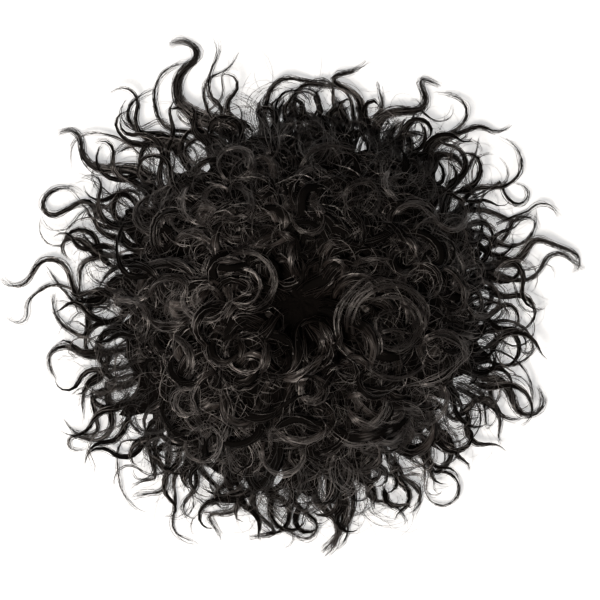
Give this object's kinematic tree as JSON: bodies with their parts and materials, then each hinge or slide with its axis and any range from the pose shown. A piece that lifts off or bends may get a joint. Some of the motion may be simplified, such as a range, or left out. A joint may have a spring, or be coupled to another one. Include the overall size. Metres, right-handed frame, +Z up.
{
  "type": "curly hair patch",
  "caption": "Dark curly hairpiece on a shallow oval cap base, lying flat with loose curled locks spread round its edge.",
  "frame": {"origin": "middle of the patch's bounding box, on the surface that it lies on", "axes": "+Z up out of the surface, +X along the longer side to the right as seen from above, +Y the far side"},
  "size_m": [0.3336, 0.2989, 0.0746],
  "materials": {
    "hair": "near-black brown curled hair with a soft sheen",
    "base": "matt dark net, plain"
  },
  "bodies": {
    "root": {"hair": "hair", "base": "base"}
  },
  "joints": []
}
